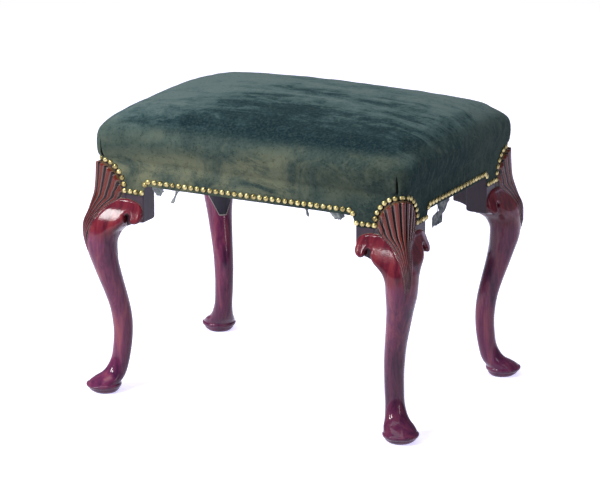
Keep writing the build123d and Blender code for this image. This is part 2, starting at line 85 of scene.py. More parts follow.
class Finish:
    """A material and its nodes."""

    def __init__(self, name):
        self.material = bpy.data.materials.new(name)
        self.material.use_nodes = True
        self.tree = self.material.node_tree
        self.tree.nodes.clear()
        self.place = self.node("ShaderNodeTexCoord", out="Object")

    def node(self, kind, settings=None, links=None, out=0):
        made = self.tree.nodes.new(kind)
        for key, value in (settings or {}).items():
            if key == "stops":
                ramp = made.color_ramp
                while len(ramp.elements) < len(value):
                    ramp.elements.new(0.5)
                for element, (spot, colour) in zip(ramp.elements, value):
                    element.position = spot
                    element.color = (*colour, 1.0)
            else:
                setattr(made, key, value)
        for key, value in (links or {}).items():
            if isinstance(value, Wire):
                self.tree.links.new(value.socket, made.inputs[key])
            else:
                made.inputs[key].default_value = value
        return Wire(self, made.outputs[out]) if len(made.outputs) else None

    def scaled(self, x, y, z):
        return self.node("ShaderNodeMapping", links={"Vector": self.place, "Scale": (x, y, z)})

    def cloud(self, scale, detail=4.0, rough=0.55, where=None, twist=0.0):
        links = {"Vector": where or self.place, "Scale": scale, "Detail": detail}
        links.update({"Roughness": rough, "Distortion": twist})
        return self.node("ShaderNodeTexNoise", links=links)

    def band(self, value, low, high):
        links = {"Value": value, "From Min": low, "From Max": high}
        return self.node("ShaderNodeMapRange", {"interpolation_type": "SMOOTHSTEP", "clamp": True}, links)

    def ramp(self, value, *stops):
        return self.node("ShaderNodeValToRGB", {"stops": stops}, {0: value})

    def edge_line(self, share):
        """The thin line along which a share of 0 turns into a share of 1."""
        return self.band(share, 0.15, 0.4) * (1.0 - self.band(share, 0.6, 0.85))

    def unsigned(self, value):
        return self.node("ShaderNodeMath", {"operation": "ABSOLUTE"}, {0: value})

    def layer(self, name):
        """A value stored on the piece's vertices."""
        return self.node("ShaderNodeAttribute", {"attribute_name": name}, out="Fac")

    def mix(self, share, a, b):
        settings = {"data_type": "RGBA", "clamp_factor": True}
        return self.node("ShaderNodeMix", settings, {0: share, 6: a, 7: b}, out=2)

    def parts(self):
        node = self.node("ShaderNodeSeparateXYZ", links={0: self.place}).socket.node
        return [Wire(self, node.outputs[k]) for k in range(3)]

    def bump(self, height, strength, depth):
        return self.node("ShaderNodeBump", links={"Strength": strength, "Distance": depth, "Height": height})

    def done(self, **sockets):
        links = {key.replace("_", " ").title(): value for key, value in sockets.items()}
        if "Specular Level" in links:
            links["Specular IOR Level"] = links.pop("Specular Level")
        shader = self.node("ShaderNodeBsdfPrincipled", links=links)
        self.node("ShaderNodeOutputMaterial", links={"Surface": shader})
        return self.material


def rgb(red, green, blue):
    return (red, green, blue, 1.0)


def mahogany():
    """Old polished mahogany: purple-brown, redder on knees and ribs; darker towards the foot as painted
    shade; dirt and painted shade in the flutes; dark slate with painted shade on the brackets, above the
    shells and on one inner corner; pale arrises as wear and painted highlight; thin pale edge lines as
    painted highlight.
    """
    f = Finish("mahogany_polish")
    z = f.parts()[2]
    figure = f.cloud(3.2, 5.0, 0.6, f.scaled(24.0, 24.0, 3.0), 0.6)
    pores = f.cloud(1.0, 3.0, 0.7, f.scaled(520.0, 520.0, 26.0))
    patina = f.cloud(9.0, 3.0, 0.5)
    flute = f.layer("flute")
    rib = f.layer("rib")
    raw = f.layer("raw")
    facet = f.layer("facet")
    brown = f.ramp(
        figure, (0.30, (0.062, 0.014, 0.052)), (0.50, (0.218, 0.038, 0.108)), (0.70, (0.370, 0.090, 0.125))
    )
    red = f.ramp(
        figure, (0.30, (0.070, 0.007, 0.018)), (0.50, (0.185, 0.017, 0.036)), (0.70, (0.290, 0.038, 0.046))
    )
    # Darker, bluer wood towards the foot: painted shade.
    foot = 1.0 - f.band(z, 0.015, 0.085)
    brown = f.mix(foot * 0.4, brown, rgb(0.120, 0.024, 0.092))
    knee = f.band(z, 0.225, 0.30)
    ground = f.mix(f.band(patina * 0.86 + knee * 0.44, 0.55, 0.75), brown, red)
    smoky = f.band(f.cloud(5.0, 2.0, 0.5), 0.53, 0.70)
    ground = f.mix(smoky * 0.35, ground, rgb(0.030, 0.008, 0.022))
    pore = f.band(pores, 0.60, 0.72)
    ground = f.mix(pore * 0.4, ground, rgb(0.012, 0.004, 0.006))
    ground = f.mix(rib * 0.8, ground, rgb(0.185, 0.026, 0.006))
    # Near-black flutes: dirt in the hollows and painted shade.
    ground = f.mix(f.band(flute, 0.02, 0.34), ground, rgb(0.012, 0.004, 0.006))
    # Pale lines along the arrises of the flutes: worn edges and painted highlight.
    arris = f.band(flute, 0.05, 0.14) * (1.0 - f.band(flute, 0.18, 0.32))
    ground = f.mix(arris * 0.34, ground, rgb(0.46, 0.33, 0.29))
    slate = f.mix(patina, rgb(0.014, 0.012, 0.021), rgb(0.050, 0.047, 0.066))
    # Dark slate on the brackets' blocks and on the strip above each shell: painted shade over dark wood.
    ground = f.mix(f.band(raw, 0.45, 0.7) * 0.9, ground, slate)
    # A thin dark-gold line where the slate meets the polish: painted highlight.
    ground = f.mix(f.edge_line(raw), ground, rgb(0.13, 0.085, 0.03))
    # The cut inner corner is dark slate: bare wood and painted shade.
    ground = f.mix(f.band(facet, 0.45, 0.7), ground, slate)
    # Pale lines along the edges of the cut corner: painted highlight.
    ground = f.mix(f.edge_line(facet), ground, rgb(0.42, 0.40, 0.38))
    rough = 0.09 + 0.08 * patina + 0.1 * pore + 0.3 * flute + 0.3 * raw + 0.3 * facet
    relief = figure * 0.35 - pore * 0.5 + f.cloud(38.0, 3.0, 0.6) * 0.8
    return f.done(
        base_color=ground, roughness=rough, coat_weight=0.05 + 0.15 * patina, coat_roughness=0.06,
        normal=f.bump(relief, 0.12, 0.0012), specular_level=0.22
    )


def beech():
    f = Finish("beech_frame")
    fibre = f.cloud(4.0, 5.0, 0.62, f.scaled(6.0, 6.0, 60.0), 0.3)
    flecks = f.cloud(1.0, 2.0, 0.6, f.scaled(120.0, 120.0, 420.0))
    ground = f.ramp(
        fibre, (0.3, (0.20, 0.115, 0.055)), (0.55, (0.34, 0.215, 0.115)), (0.75, (0.45, 0.31, 0.18))
    )
    grime = f.band(f.cloud(9.0, 4.0, 0.6), 0.45, 0.7)
    ground = f.mix(grime * 0.6, ground, rgb(0.1, 0.062, 0.036))
    ground = f.mix(f.band(flecks, 0.6, 0.7) * 0.5, ground, rgb(0.17, 0.09, 0.04))
    relief = fibre * 0.6 + flecks * 0.4
    return f.done(base_color=ground, roughness=0.62 + 0.2 * grime, normal=f.bump(relief, 0.25, 0.001))


def leather():
    """Worn green napped leather: on the top darker over the front and greyer behind as painted sheen; olive
    bloom on the front with painted light to the left and painted shadow to the right; painted shade on the
    right side, along the nails and in the corner slits.
    """
    f = Finish("leather_green_nap")
    x, y, z = f.parts()
    broad = f.cloud(4.6, 5.0, 0.6, None, 0.5)
    clouds = f.cloud(12.0, 6.0, 0.64, None, 0.7)
    speck = f.cloud(230.0, 3.0, 0.7)
    nap = f.cloud(1.0, 4.0, 0.65, f.scaled(140.0, 140.0, 34.0))
    streaks = f.cloud(1.0, 5.0, 0.66, f.scaled(6.0, 26.0, 10.0), 0.6)
    mottle = f.cloud(36.0, 6.0, 0.7, None, 0.8)
    ground = f.ramp(
        clouds * 0.6 + broad * 0.4, (0.34, (0.028, 0.048, 0.046)), (0.47, (0.056, 0.086, 0.079)),
        (0.56, (0.084, 0.118, 0.100)), (0.68, (0.124, 0.156, 0.120))
    )
    top = f.band(z, 0.456, 0.478)
    side = 1.0 - top
    right = f.band(x, 0.272, 0.289) * side
    brushed = f.band(nap, 0.46, 0.70)
    # The right side gets darker teal nap strokes: nap texture and painted shade.
    shaded_nap = f.mix(brushed * 0.8, rgb(0.024, 0.056, 0.064), rgb(0.105, 0.155, 0.152))
    ground = f.mix(right * 0.8, ground, shaded_nap)
    faded = right * f.band(y + (clouds - 0.5) * 0.5, -0.06, 0.2)
    ground = f.mix(faded * 0.45, ground, rgb(0.150, 0.190, 0.172))
    # The top is darker over the front and lighter towards the back and the left: painted sheen, with worn
    # streaks and clouds.
    wear_and_sheen = (y + 0.185) * 3.2 + f.band(0.0 - x, 0.04, 0.22) * 0.62 + (streaks - 0.5) * 2.4
    wear_and_sheen = wear_and_sheen + (clouds - 0.5) * 1.5 + (mottle - 0.5) * 1.2
    crown = f.ramp(
        wear_and_sheen, (0.0, (0.009, 0.025, 0.031)), (0.25, (0.019, 0.044, 0.050)), (0.5, (0.052, 0.091, 0.094)),
        (0.75, (0.083, 0.126, 0.127)), (1.0, (0.110, 0.152, 0.150))
    )
    ground = f.mix(top, ground, crown)
    front = f.band(0.0 - y, 0.184, 0.204) * side
    slope = f.unsigned(z - 0.408 - x * 0.13)
    # Olive bloom on the front, stronger to the left and weaker to the right: leather bloom and painted
    # light.
    patch = f.band(f.cloud(11.0, 6.0, 0.68, f.scaled(1.0, 1.0, 1.5), 0.8) - x * 0.28, 0.37, 0.60)
    bloom_and_light = patch * (1.0 - f.band(slope, 0.014, 0.060)) * (1.0 - f.band(x, -0.02, 0.30) * 0.6)
    ground = f.mix(front * bloom_and_light * 0.9, ground, rgb(0.260, 0.272, 0.172))
    shadow = f.band(x, 0.0, 0.24) * (1.0 - f.band(slope, 0.0, 0.05) * 0.3)
    ground = f.mix(front * shadow * 0.70, ground, rgb(0.030, 0.050, 0.044))
    ground = f.mix(side * f.band(mottle, 0.50, 0.68) * 0.4, ground, rgb(0.022, 0.042, 0.042))
    ground = f.mix(side * (1.0 - f.band(mottle, 0.34, 0.47)) * 0.35, ground, rgb(0.150, 0.175, 0.135))
    # Darker along the nail line at the lower edge: dirt and painted shade.
    low = 1.0 - f.band(z, 0.366, 0.388)
    ground = f.mix(low * 0.25, ground, rgb(0.012, 0.018, 0.019))
    ground = f.mix(f.band(speck, 0.42, 0.70) * 0.25, ground, rgb(0.115, 0.150, 0.135))
    ground = f.mix((1.0 - f.band(speck, 0.30, 0.46)) * 0.45, ground, rgb(0.010, 0.018, 0.020))
    from_side = HALF_X * MM - f.unsigned(x)
    from_front = HALF_Y * MM - f.unsigned(y)
    gap = f.unsigned((from_side - from_front) / ROOT2 - (0.0086 + (z - 0.413) * 0.093))
    open_width = 0.0019 * f.band(z, 0.406, 0.416) * (1.0 - f.band(z, 0.428, 0.447)) + 0.00001
    # A near-black line along each corner fold over a shallow crease: painted shade of an opening.
    slit = (1.0 - f.band(gap / open_width, 0.55, 1.0)) * f.band(z, 0.4055, 0.409)
    slit = slit * (1.0 - f.band(z, 0.440, 0.446))
    ground = f.mix(slit, ground, rgb(0.002, 0.003, 0.003))
    rough = 0.84 + 0.14 * clouds
    relief = speck * 0.6 + nap * 0.5 + clouds * 1.2 - slit * 2.0
    return f.done(
        base_color=ground, roughness=rough, normal=f.bump(relief, 0.4, 0.0013), sheen_weight=0.04,
        sheen_roughness=0.5, sheen_tint=rgb(0.45, 0.75, 0.75), specular_level=0.03
    )


def torn_leather():
    """The flesh side of torn leather: slate grey, paler in patches."""
    f = Finish("leather_torn")
    patch = f.cloud(90.0, 4.0, 0.6)
    ground = f.ramp(
        patch, (0.34, (0.05, 0.062, 0.075)), (0.50, (0.19, 0.215, 0.225)), (0.64, (0.42, 0.44, 0.43))
    )
    return f.done(base_color=ground, roughness=0.85 + 0.1 * patch, normal=f.bump(f.cloud(300.0), 0.3, 0.001))


def brass():
    f = Finish("brass_nail_heads")
    tarnish = f.cloud(95.0, 4.0, 0.62)
    spots = f.cloud(340.0, 3.0, 0.6)
    ground = f.ramp(
        tarnish, (0.34, (0.15, 0.115, 0.042)), (0.5, (0.46, 0.38, 0.15)), (0.66, (0.70, 0.61, 0.30))
    )
    dull = f.band(spots, 0.55, 0.7)
    ground = f.mix(dull * 0.5, ground, rgb(0.10, 0.075, 0.03))
    # A dark rim round each head, fading up the dome: tarnish and painted shade.
    lip = f.layer("lip")
    ground = f.mix(f.band(lip, 0.25, 0.9), ground, rgb(0.020, 0.015, 0.008))
    relief = spots * 0.4 + tarnish * 0.6
    return f.done(
        base_color=ground, metallic=0.95 - 0.3 * dull, roughness=0.27 + 0.2 * tarnish,
        normal=f.bump(relief, 0.2, 0.0006)
    )


def iron():
    f = Finish("blued_iron")
    rust = f.cloud(160.0, 4.0, 0.6)
    ground = f.ramp(
        rust, (0.4, (0.03, 0.03, 0.034)), (0.6, (0.075, 0.05, 0.035)), (0.75, (0.17, 0.075, 0.03))
    )
    relief = f.bump(rust, 0.3, 0.0008)
    return f.done(base_color=ground, metallic=0.75, roughness=0.5 + 0.25 * rust, normal=relief)


def woven(name, pitch, dark, light):
    """Plain weave at a thread pitch in metres."""
    f = Finish(name)
    x, y, _ = f.parts()
    turn = 2 * math.pi / pitch
    over = f.node("ShaderNodeMath", {"operation": "SINE"}, {0: x * turn})
    under = f.node("ShaderNodeMath", {"operation": "SINE"}, {0: y * turn})
    weave = over * under * 0.5 + 0.5
    slub = f.cloud(55.0, 4.0, 0.65)
    ground = f.mix(weave * 0.7 + slub * 0.3, dark, light)
    stain = f.band(f.cloud(10.0, 4.0, 0.6), 0.45, 0.7)
    ground = f.mix(stain * 0.5, ground, rgb(0.12, 0.085, 0.05))
    relief = f.bump(weave + slub * 0.4, 0.5, 0.0008)
    return f.done(base_color=ground, roughness=0.86 + 0.1 * slub, normal=relief)


MAHOGANY = mahogany()
BEECH = beech()
HIDE = leather()
TORN = torn_leather()
BRASS = brass()
IRON = iron()
WEB = woven("webbing_jute", 0.0022, rgb(0.16, 0.115, 0.06), rgb(0.36, 0.28, 0.165))
SACKING = woven("hessian_jute", 0.0016, rgb(0.14, 0.1, 0.052), rgb(0.38, 0.3, 0.18))


def finish_mesh(bm, name, material, smooth=True):
    """Make the object, standing at the origin with its place in its mesh, and let it ride."""
    bmesh.ops.recalc_face_normals(bm, faces=bm.faces)
    mesh = bpy.data.meshes.new(name)
    bm.to_mesh(mesh)
    bm.free()
    for face in mesh.polygons:
        face.use_smooth = smooth
    mesh.materials.append(material)
    piece = bpy.data.objects.new(name, mesh)
    bpy.context.collection.objects.link(piece)
    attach(piece, "root")
    return piece


def verts_in(grown):
    return [g for g in grown if isinstance(g, bmesh.types.BMVert)]


def edges_in(grown):
    return [g for g in grown if isinstance(g, bmesh.types.BMEdge)]


def baked(piece):
    """Apply the piece's modifiers to its mesh."""
    graph = bpy.context.evaluated_depsgraph_get()
    graph.update()
    mesh = bpy.data.meshes.new_from_object(piece.evaluated_get(graph))
    old = piece.data
    piece.modifiers.clear()
    piece.data = mesh
    bpy.data.meshes.remove(old)


def smoothed(low, high, value):
    t = min(1.0, max(0.0, (value - low) / (high - low)))
    return t * t * (3 - 2 * t)


def through(stations, at):
    """Smooth values through stations given as (place, value, value, ...)."""
    last = len(stations) - 1
    if at <= stations[0][0]:
        return stations[0][1:]
    if at >= stations[last][0]:
        return stations[last][1:]
    i = max(k for k in range(last) if stations[k][0] <= at)
    a = stations[i]
    b = stations[i + 1]
    span = b[0] - a[0]
    t = (at - a[0]) / span

    def slope(k, column):
        before = stations[max(k - 1, 0)]
        after = stations[min(k + 1, last)]
        return (after[column] - before[column]) / (after[0] - before[0])

    values = []
    for c in range(1, len(a)):
        m0 = slope(i, c) * span
        m1 = slope(i + 1, c) * span
        values.append(
            (2 * t**3 - 3 * t**2 + 1) * a[c] + (t**3 - 2 * t**2 + t) * m0
            + (3 * t**2 - 2 * t**3) * b[c] + (t**3 - t**2) * m1
        )
    return values


def place_at(corner, u, v, z):
    """A point u and v inwards from a frame corner, in metres."""
    across, along = corner
    return Vector((across * (HALF_X - u), along * (HALF_Y - v), z)) * MM


# Legs

FOOT_AND_SHANK = (
    # height, centre along the diagonal, radius
    (0.0, -4.2, 20.0), (2.5, -3.4, 23.2), (6.0, -2.8, 26.0), (8.2, -2.6, 26.6), (9.4, -2.3, 28.5),
    (10.8, -2.0, 29.6), (13.6, -2.1, 30.0), (15.0, -2.5, 29.3), (16.2, -3.4, 27.7), (19.0, -5.8, 26.9),
    (24.0, -11.6, 25.0), (31.0, -19.8, 20.8), (41.0, -26.0, 18.0), (58.0, -32.0, 16.0), (80.0, -35.5, 16.1),
    (103.0, -36.9, 16.4), (124.5, -35.7, 17.1), (146.0, -32.2, 17.6), (169.2, -25.7, 18.7),
    (196.1, -17.0, 20.5), (219.4, -10.0, 22.3), (244.4, -4.5, 25.6),
)
KNEE = (
    # height, proud of the frame, inner side, squareness
    (263.0, 24.0, 28.8, 2.2), (274.5, 23.3, 32.2, 2.35), (282.0, 22.5, 36.0, 2.7), (288.0, 21.0, 41.5, 3.3),
    (293.5, 19.6, 46.5, 4.4), (300.0, 17.6, 50.6, 7.0), (306.0, 15.3, 51.6, 12.0), (312.0, 12.8, 51.6, 20.0),
    (323.0, 8.0, 51.6, 30.0), (333.0, 4.6, 51.6, 30.0), (338.4, 3.0, 51.6, 30.0), (341.0, 0.9, 51.6, 30.0),
    (343.0, 0.0, 51.6, 30.0), (349.0, 0.0, 51.6, 22.0), (372.0, 0.0, 51.6, 6.0), (400.0, 0.0, 51.6, 3.6),
    (437.0, 0.0, 51.6, 3.6),
)
LEG_SECTIONS = [(z, -d / ROOT2 - r, -d / ROOT2 + r, 2.0) for z, d, r in FOOT_AND_SHANK]
LEG_SECTIONS += [(z, -proud, inner, n) for z, proud, inner, n in KNEE]
SHELL_FOOT = 246.0
SHELL = (
    # height, crest along the diagonal, half width, face proud there
    (SHELL_FOOT, 21.6, 2.6, 23.0), (263.0, 26.6, 4.6, 24.0), (282.0, 29.6, 6.8, 22.5),
    (300.0, 28.0, 9.6, 17.6), (318.0, 19.8, 13.4, 10.2), (330.0, 15.0, 20.0, 5.6), (340.0, 11.2, 28.4, 2.0),
    (350.0, 8.2, 32.6, 0.0), (376.0, 5.6, 33.0, 0.0), (404.0, 4.6, 33.0, 0.0),
)
SHELL_RIBS = 9
SHELL_TURN = 1.9
ARCH_SPRING = 355.0
ARCH_HALF = 32.5
ARCH_RISE = 46.0
SHADED_STRIP = (340.4, 342.4)
FACET_FOOT = 219.0
FACET_HALF = 7.0
FACET_SPREAD = 0.46
FACET_CUT = 0.9
FACET_SIDES = (1.64, 1.84)
LEG_COLUMNS = 232
RING_STEPS = (
    # height, step between rings from there up
    (0, 1.3), (8, 1.0), (20, 2.0), (60, 4.0), (240, 3.0), (252, 2.2), (332, 0.9), (345, 1.8), (406, 10.0),
    (437, 1.0),
)


def leg_heights():
    heights = [0.0]
    for (low, step), (high, _) in zip(RING_STEPS, RING_STEPS[1:]):
        count = max(1, round((high - low) / step))
        heights += [low + (high - low) * (k + 1) / count for k in range(count)]
    return heights


def carve_shell(out, across, z):
    """Where carving the shell takes a point of the knee, with its shares of flute, rib and shell."""
    crest, half, proud = through(SHELL, z)
    t = min(1.0, max(-1.0, across / half))
    beyond = abs(across) - half
    spread = half + 0.32 * max(0.0, z - 350.0)
    phase = (min(1.0, max(-1.0, across / spread)) + 1) / 2 * SHELL_RIBS
    wave = 2 * (phase - math.floor(phase)) - 1
    lobe = max(0.0, 1 - wave * wave) ** 0.75
    if z > ARCH_SPRING:
        ray = math.hypot(across / ARCH_HALF, (z - ARCH_SPRING) / ARCH_RISE)
        rim = 0.985 + 0.03 * lobe
        inside = 1 - smoothed(rim - 0.045, rim, ray)
    else:
        inside = 1 - smoothed(-0.5, 0.5, beyond)
    edge_proud = 0.3 + 3.0 * smoothed(338.0, 352.0, z)
    edge = min(ROOT2 * (proud + edge_proud) - half, crest - 0.2 * half)
    carved = crest - (crest - edge) * abs(t) ** 1.5
    carved += (0.9 + 3.6 * min(1.0, half / ARCH_HALF)) * (lobe - 0.78)
    moved = out + (max(carved, out - 4.0) - out) * inside
    if z < 347.0 and beyond > 0:
        moved += 0.8 * math.exp(-(((beyond - 1.4) / 1.0) ** 2)) * smoothed(248.0, 262.0, z)
    shown = inside * smoothed(SHELL_FOOT, 268.0, z)
    return moved, shown * (1 - lobe) ** 1.3, shown * lobe * smoothed(290.0, 350.0, z), inside


def leg_point(section, turn, z):
    """The leg's surface at an angle from the outward diagonal: u, v, shares of flute, rib and the dark strip
    above the shell, which is painted shade.
    """
    u0, u1, n = section
    half = (u1 - u0) / 2
    middle = (u1 + u0) / 2
    du = (-math.cos(turn) + math.sin(turn)) / ROOT2
    dv = (-math.cos(turn) - math.sin(turn)) / ROOT2
    largest = max(abs(du), abs(dv))
    reach = half / (largest * ((abs(du) / largest) ** n + (abs(dv) / largest) ** n) ** (1 / n))
    u = middle + reach * du
    v = middle + reach * dv
    groove = ridge = inside = 0.0
    if z > SHELL_FOOT and abs(turn) < SHELL_TURN:
        across = (u - v) / ROOT2
        out, groove, ridge, inside = carve_shell(-(u + v) / ROOT2, across, z)
        u = (-out + across) / ROOT2
        v = (-out - across) / ROOT2
    # Above the shell's rim, under the leather, the post takes the dark slate colour: painted shade.
    strip = smoothed(0.4, 0.65, 1 - inside) * smoothed(*SHADED_STRIP, z)
    return u, v, groove, ridge, strip


def bare_shaded_corner(u, v, z, turn):
    """Share of the dark, bare inner corner of the knee, which narrows to a point below; its dark colour is
    partly painted shade.
    """
    across = abs(u - v) / ROOT2
    half = FACET_HALF + FACET_SPREAD * (z - FACET_FOOT)
    within = smoothed(-1.6, 1.6, half - across) * smoothed(FACET_FOOT - 2.0, FACET_FOOT + 1.6, z)
    return within * smoothed(*FACET_SIDES, abs(turn))


def leg_turn(column):
    s = column / LEG_COLUMNS
    turn = 2 * math.pi * s - 0.55 * math.sin(2 * math.pi * s)
    return turn if turn <= math.pi else turn - 2 * math.pi


def leg_form():
    """One leg in the (u, v) of its corner, drawn up ring by ring from its foot and carved."""
    bm = bmesh.new()
    column = bm.verts.layers.int.new("column")
    flute = bm.verts.layers.float.new("flute")
    rib = bm.verts.layers.float.new("rib")
    raw = bm.verts.layers.float.new("raw")
    facet = bm.verts.layers.float.new("facet")
    ring = bmesh.ops.create_circle(bm, segments=LEG_COLUMNS, radius=MM)["verts"]
    for k, vert in enumerate(ring):
        vert[column] = k
    edges = list(bm.edges)
    foot = list(edges)
    turns = [leg_turn(k) for k in range(LEG_COLUMNS)]
    for step, z in enumerate(leg_heights()):
        if step:
            grown = bmesh.ops.extrude_edge_only(bm, edges=edges)["geom"]
            ring = verts_in(grown)
            edges = edges_in(grown)
        section = through(LEG_SECTIONS, z)
        for vert in ring:
            turn = turns[vert[column]]
            u, v, vert[flute], vert[rib], vert[raw] = leg_point(section, turn, z)
            vert[facet] = bare_shaded_corner(u, v, z, turn)
            cut = FACET_CUT * vert[facet] / ROOT2
            vert.co = Vector((u - cut, v - cut, z)) * MM
    bmesh.ops.edgeloop_fill(bm, edges=foot)
    bmesh.ops.edgeloop_fill(bm, edges=edges)
    mesh = bpy.data.meshes.new("leg_form")
    bm.to_mesh(mesh)
    bm.free()
    return mesh


def corner_copy(form, kind, node, corner, swapped=False):
    """Set a form made in a corner's (u, v) at one of the four corners, turned over the diagonal if asked."""
    bm = bmesh.new()
    bm.from_mesh(form)
    facet = bm.verts.layers.float.get("facet")
    for vert in bm.verts:
        # Only the back left leg keeps the dark corner with its painted shade and painted highlight.
        if facet and node != "leg_back_left":
            vert[facet] = 0.0
        u, v, z = vert.co / MM
        vert.co = place_at(corner, v, u, z) if swapped else place_at(corner, u, v, z)
    piece = finish_mesh(bm, f"{kind}_{node}", MAHOGANY)
    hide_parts(node)


# Brackets

VOXEL = 0.75
BLOCK_DEPTH = 38.0
BLOCK_END = 303.6
BACK_ROUND = 30.0
SCROLL_SEAM = 0.4
SCROLL_REACH = 11.2


def relax(bm, times):
    """Even out a mesh."""
    for _ in range(times):
        bmesh.ops.smooth_vert(
            bm, verts=bm.verts, factor=0.5, use_axis_x=True, use_axis_y=True, use_axis_z=True
        )


def arc(start, middle, end, steps):
    """Points on the circle through three points, after the first."""
    ax, ay = start
    bx, by = middle
    cx, cy = end
    d = 2 * (ax * (by - cy) + bx * (cy - ay) + cx * (ay - by))
    x = ((ax**2 + ay**2) * (by - cy) + (bx**2 + by**2) * (cy - ay) + (cx**2 + cy**2) * (ay - by)) / d
    y = ((ax**2 + ay**2) * (cx - bx) + (bx**2 + by**2) * (ax - cx) + (cx**2 + cy**2) * (bx - ax)) / d
    radius = math.hypot(ax - x, ay - y)
    first = math.atan2(ay - y, ax - x)
    past = (math.atan2(cy - y, cx - x) - first) % (2 * math.pi)
    mid = (math.atan2(by - y, bx - x) - first) % (2 * math.pi)
    sweep = past if mid < past else past - 2 * math.pi
    turns = [first + sweep * (k + 1) / steps for k in range(steps)]
    return [(x + radius * math.cos(t), y + radius * math.sin(t)) for t in turns]


def prism(bm, outline, near, far):
    """Draw an outline of (u, z) points out from v near to v far."""
    verts = [bm.verts.new((u * MM, near * MM, z * MM)) for u, z in outline]
    face = bm.faces.new(verts)
    grown = bmesh.ops.extrude_face_region(bm, geom=[face])["geom"]
    moved = verts_in(grown)
    bmesh.ops.translate(bm, verts=moved, vec=(0, (far - near) * MM, 0))


def scroll_lift(u, z):
    """How far the scroll's face stands out there: flush with the knee beside it, lower at its end."""
    proud = through([(k[0], k[1]) for k in KNEE], z)[0]
    sunk = 0.6 * (max(0.0, 50.0 - u) / 7.5) ** 2
    fall = 4.0 * smoothed(58.0, BRACKET_END, u)
    return max(2.5, proud + 0.15 - fall) - sunk


def edge_distance(u, z, outline):
    """Distance from a point to a run of straight pieces."""
    best = 99.0
    for (ax, ay), (bx, by) in zip(outline, outline[1:]):
        dx, dy = bx - ax, by - ay
        t = ((u - ax) * dx + (z - ay) * dy) / (dx * dx + dy * dy)
        t = min(1.0, max(0.0, t))
        best = min(best, math.hypot(u - ax - t * dx, z - ay - t * dy))
    return best


def bracket_form():
    """One bracket in the (u, v) of its corner: block and scroll in one, then rounded over."""
    inner = POST_SIDE - 1.0
    into_leg = 42.0
    end = BRACKET_END
    block = [(inner, RAIL_BOTTOM - 0.2), (end, RAIL_BOTTOM - 0.2), (end, BLOCK_END)]
    block += arc(block[-1], (67.0, 300.6), (inner, 292.6), 14)
    rim = [(into_leg, 339.8)]
    rim += arc(rim[-1], (57.0, 340.8), (67.3, 338.0), 12)
    rim += arc(rim[-1], (77.5, 332.0), (82.3, 319.0), 12)
    rim += arc(rim[-1], (79.7, 305.6), (71.8, 301.6), 12)
    rim += arc(rim[-1], (65.4, 303.6), (62.2, 309.5), 8)
    rim += arc(rim[-1], (60.8, 315.4), (57.1, 317.6), 8)
    rim += arc(rim[-1], (50.6, 313.2), (into_leg, 302.0), 10)
    bm = bmesh.new()
    prism(bm, block, BLOCK_DEPTH, 0.0)
    prism(bm, rim, 15.0, -11.0)
    bmesh.ops.recalc_face_normals(bm, faces=bm.faces)
    mesh = bpy.data.meshes.new("bracket_block")
    bm.to_mesh(mesh)
    bm.free()
    rough = bpy.data.objects.new("bracket_block", mesh)
    bpy.context.collection.objects.link(rough)
    remesh = rough.modifiers.new("one_piece", "REMESH")
    remesh.mode = "VOXEL"
    remesh.voxel_size = VOXEL * MM
    baked(rough)
    bm = bmesh.new()
    bm.from_mesh(rough.data)
    bpy.data.objects.remove(rough)
    raw = bm.verts.layers.float.new("raw")
    relax(bm, 6)
    for vert in bm.verts:
        u, v, z = vert.co / MM
        # The whole block except the scroll's face takes the dark slate colour: painted shade on dark wood.
        vert[raw] = smoothed(-1.5, 0.2, v)
        if v > SCROLL_SEAM:
            hollow = 0.8 * max(0.0, 316.0 - z) * smoothed(69.0, 63.0, u)
            v += hollow * max(0.0, 1 - v / BLOCK_DEPTH)
        if v > BACK_ROUND:
            over = min(1.0, (v - BACK_ROUND) / (BLOCK_DEPTH - BACK_ROUND + 0.2))
            lift = 5.0 * (1 - math.sqrt(1 - over * over))
            z += lift * (RAIL_BOTTOM - z) / (RAIL_BOTTOM - 300.0)
        if v < SCROLL_SEAM:
            share = min(1.0, (SCROLL_SEAM - v) / SCROLL_REACH)
            lift = scroll_lift(u, z)
            roll = min(5.0, 0.85 * lift)
            over = 1 - min(1.0, edge_distance(u, z, rim) / max(0.5, roll))
            lift -= roll * (1 - math.sqrt(max(0.0, 1 - over * over)))
            v = SCROLL_SEAM - share * (lift + SCROLL_SEAM)
        vert.co = Vector((u, v, z)) * MM
    relax(bm, 5)
    mesh = bpy.data.meshes.new("bracket_form")
    bm.to_mesh(mesh)
    bm.free()
    return mesh


# Seat

TAB_EDGE = 349.0
SKIRT_TOP = 406.0
SKIRT_RADIUS = CORNER_RADIUS + LEATHER
TOP_EDGE = 480.0
COVER = (
    # height, beyond the frame, corner radius
    (TAB_EDGE, LEATHER, SKIRT_RADIUS), (392.0, LEATHER, SKIRT_RADIUS), (405.5, 1.8, SKIRT_RADIUS),
    (409.0, 2.7, 14.2), (412.5, 4.7, 13.6), (419.0, 6.7, 17.5), (430.0, 9.2, 24.0), (445.0, 11.0, 34.0),
    (456.0, 10.0, 42.0), (466.0, 6.0, 48.0), (474.0, -1.0, 52.0), (TOP_EDGE, -10.0, 54.0),
)
ROLL_HEIGHTS = (
    478.4, 476.2, 473.5, 470.4, 466.8, 462.6, 458.0, 453.0, 447.6, 442.0, 436.2, 430.4, 424.8, 419.8, 415.6,
    412.0, 409.0, SKIRT_TOP,
)
SKIRT_SHARES = (0.12, 0.24, 0.36, 0.48, 0.6, 0.74, 0.88, 1.0)
HELD_BELOW = 416.0
FREE_ABOVE = 428.0
SWELL_FRAMES = 14
SWELL_LIMIT = 2.0
CROWN = 25.0
SLIT_ACROSS = 9.5
ARC_STEPS = 8
DENSE = 36
DENSE_REACH = 88.0


